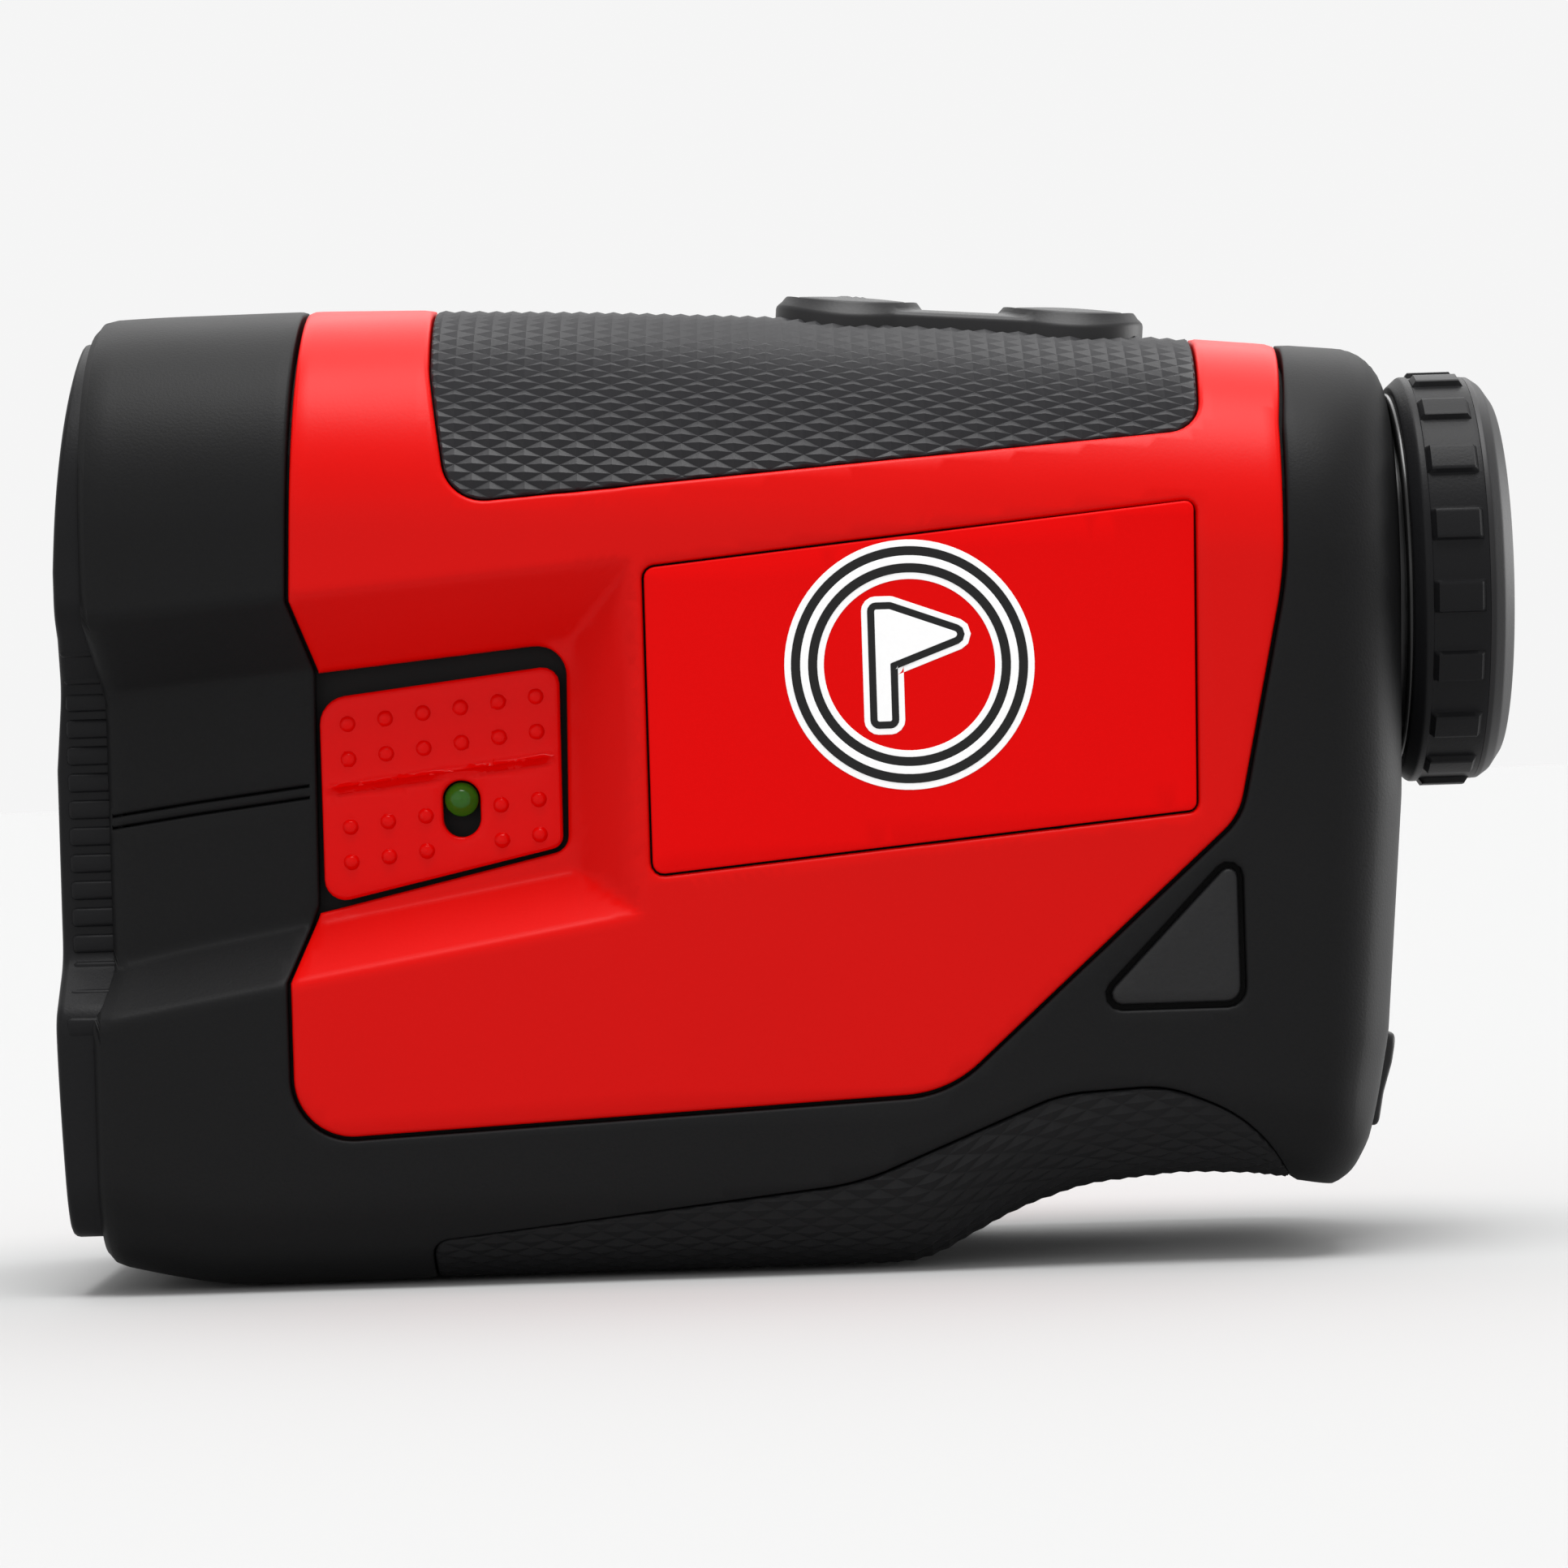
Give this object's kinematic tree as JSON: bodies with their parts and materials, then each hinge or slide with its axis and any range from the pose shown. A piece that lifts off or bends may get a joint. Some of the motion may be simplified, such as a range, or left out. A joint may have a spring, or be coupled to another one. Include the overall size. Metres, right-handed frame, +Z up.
{
  "type": "handheld laser rangefinder",
  "caption": "Handheld laser rangefinder monocular: objective and emitter windows in front, focusing eyepiece behind, keys on top and a sliding slope switch on the side.",
  "frame": {"origin": "on the plane of the base, midway along the length and across the width", "axes": "+X runs along the optical axis from the objective to the eyepiece, +Z is up, -Y is the side with the slope slider"},
  "size_m": [0.112, 0.041, 0.076],
  "materials": {
    "chassis": "matte",
    "armour": "soft-touch matte",
    "grip": "matte",
    "cover": "satin gloss",
    "badge": "gloss",
    "emblem": "satin",
    "trim": "satin",
    "bezel": "satin",
    "key": "matte",
    "coated_glass": "coated",
    "indicator": "gloss",
    "board": "satin",
    "steel": "satin",
    "diode": "satin",
    "cell": "gloss",
    "flex": "satin"
  },
  "bodies": {
    "housing": {"left_chassis": "chassis", "right_chassis": "chassis", "left_armour": "armour", "right_armour": "armour", "left_cover": "cover", "right_cover": "cover", "top_grip": "grip", "bottom_grip": "grip", "front_bezel": "bezel", "objective_ring": "bezel", "objective_lens": "coated_glass", "objective_tube": "chassis", "emitter_ring": "bezel", "emitter_lens": "coated_glass", "emitter_tube": "chassis", "laser_diode": "diode", "emitter_board": "board", "prism_frame": "chassis", "half_penta_prism": "coated_glass", "roof_prism": "coated_glass", "photodiode": "diode", "receiver_board": "board", "display_frame": "chassis", "display_glass": "coated_glass", "eyepiece_sleeve": "bezel", "eyepiece_seal": "grip", "button_pad": "grip", "button_board": "board", "tact_switches": "steel", "slope_indicator": "indicator", "slope_board": "board", "slope_switch": "steel", "main_board": "board", "board_chips": "bezel", "battery_cell": "cell", "battery_tray": "chassis", "usb_connector": "steel", "usb_board": "board", "flap_strap": "grip", "left_badge": "badge", "right_badge": "badge", "badge_emblem": "emblem", "left_trim": "trim", "right_trim": "trim", "case_screws": "steel", "button_flex": "flex", "display_flex": "flex"},
    "power_key": {"power_button": "key"},
    "mode_key": {"mode_button": "key"},
    "slope_slide_body": {"slope_slider": "cover", "switch_lever": "bezel"},
    "eyepiece_cell": {"ocular_cell": "bezel", "field_lens": "coated_glass", "eye_lens": "coated_glass", "lens_lock_ring": "bezel"},
    "focus_body": {"focus_ring": "bezel", "cell_clip": "steel", "eyecup": "grip"},
    "port_flap": {"usb_flap": "grip"}
  },
  "joints": [
    {"name": "power_press", "type": "slide", "parent": "housing", "child": "power_key", "axis": [-0.0802, 0, -0.9968], "range_m": [0, 0.0005], "stiffness_N_per_m": 800, "springref_m": -0.0005},
    {"name": "mode_press", "type": "slide", "parent": "housing", "child": "mode_key", "axis": [-0.0802, 0, -0.9968], "range_m": [0, 0.0005], "stiffness_N_per_m": 800, "springref_m": -0.0005},
    {"name": "slope_slide", "type": "slide", "parent": "housing", "child": "slope_slide_body", "axis": [0, 0, 1], "range_m": [0, 0.00145]},
    {"name": "eyepiece_slide", "type": "slide", "parent": "housing", "child": "eyepiece_cell", "axis": [1, 0, 0], "range_m": [-0.00033, 0.00125]},
    {"name": "focus_turn", "type": "hinge", "parent": "eyepiece_cell", "child": "focus_body", "pos_m": [0.05, 0, 0.052], "axis": [1, 0, 0], "range_deg": [-40, 150]},
    {"name": "port_flap_swing", "type": "hinge", "parent": "housing", "child": "port_flap", "pos_m": [0.0444, 0, 0.00893], "axis": [0, 1, 0], "range_deg": [0, 100]}
  ],
  "couplings": [
    {"joint": "focus_turn", "follows": "eyepiece_slide", "rad_per_m": 2094.4}
  ]
}
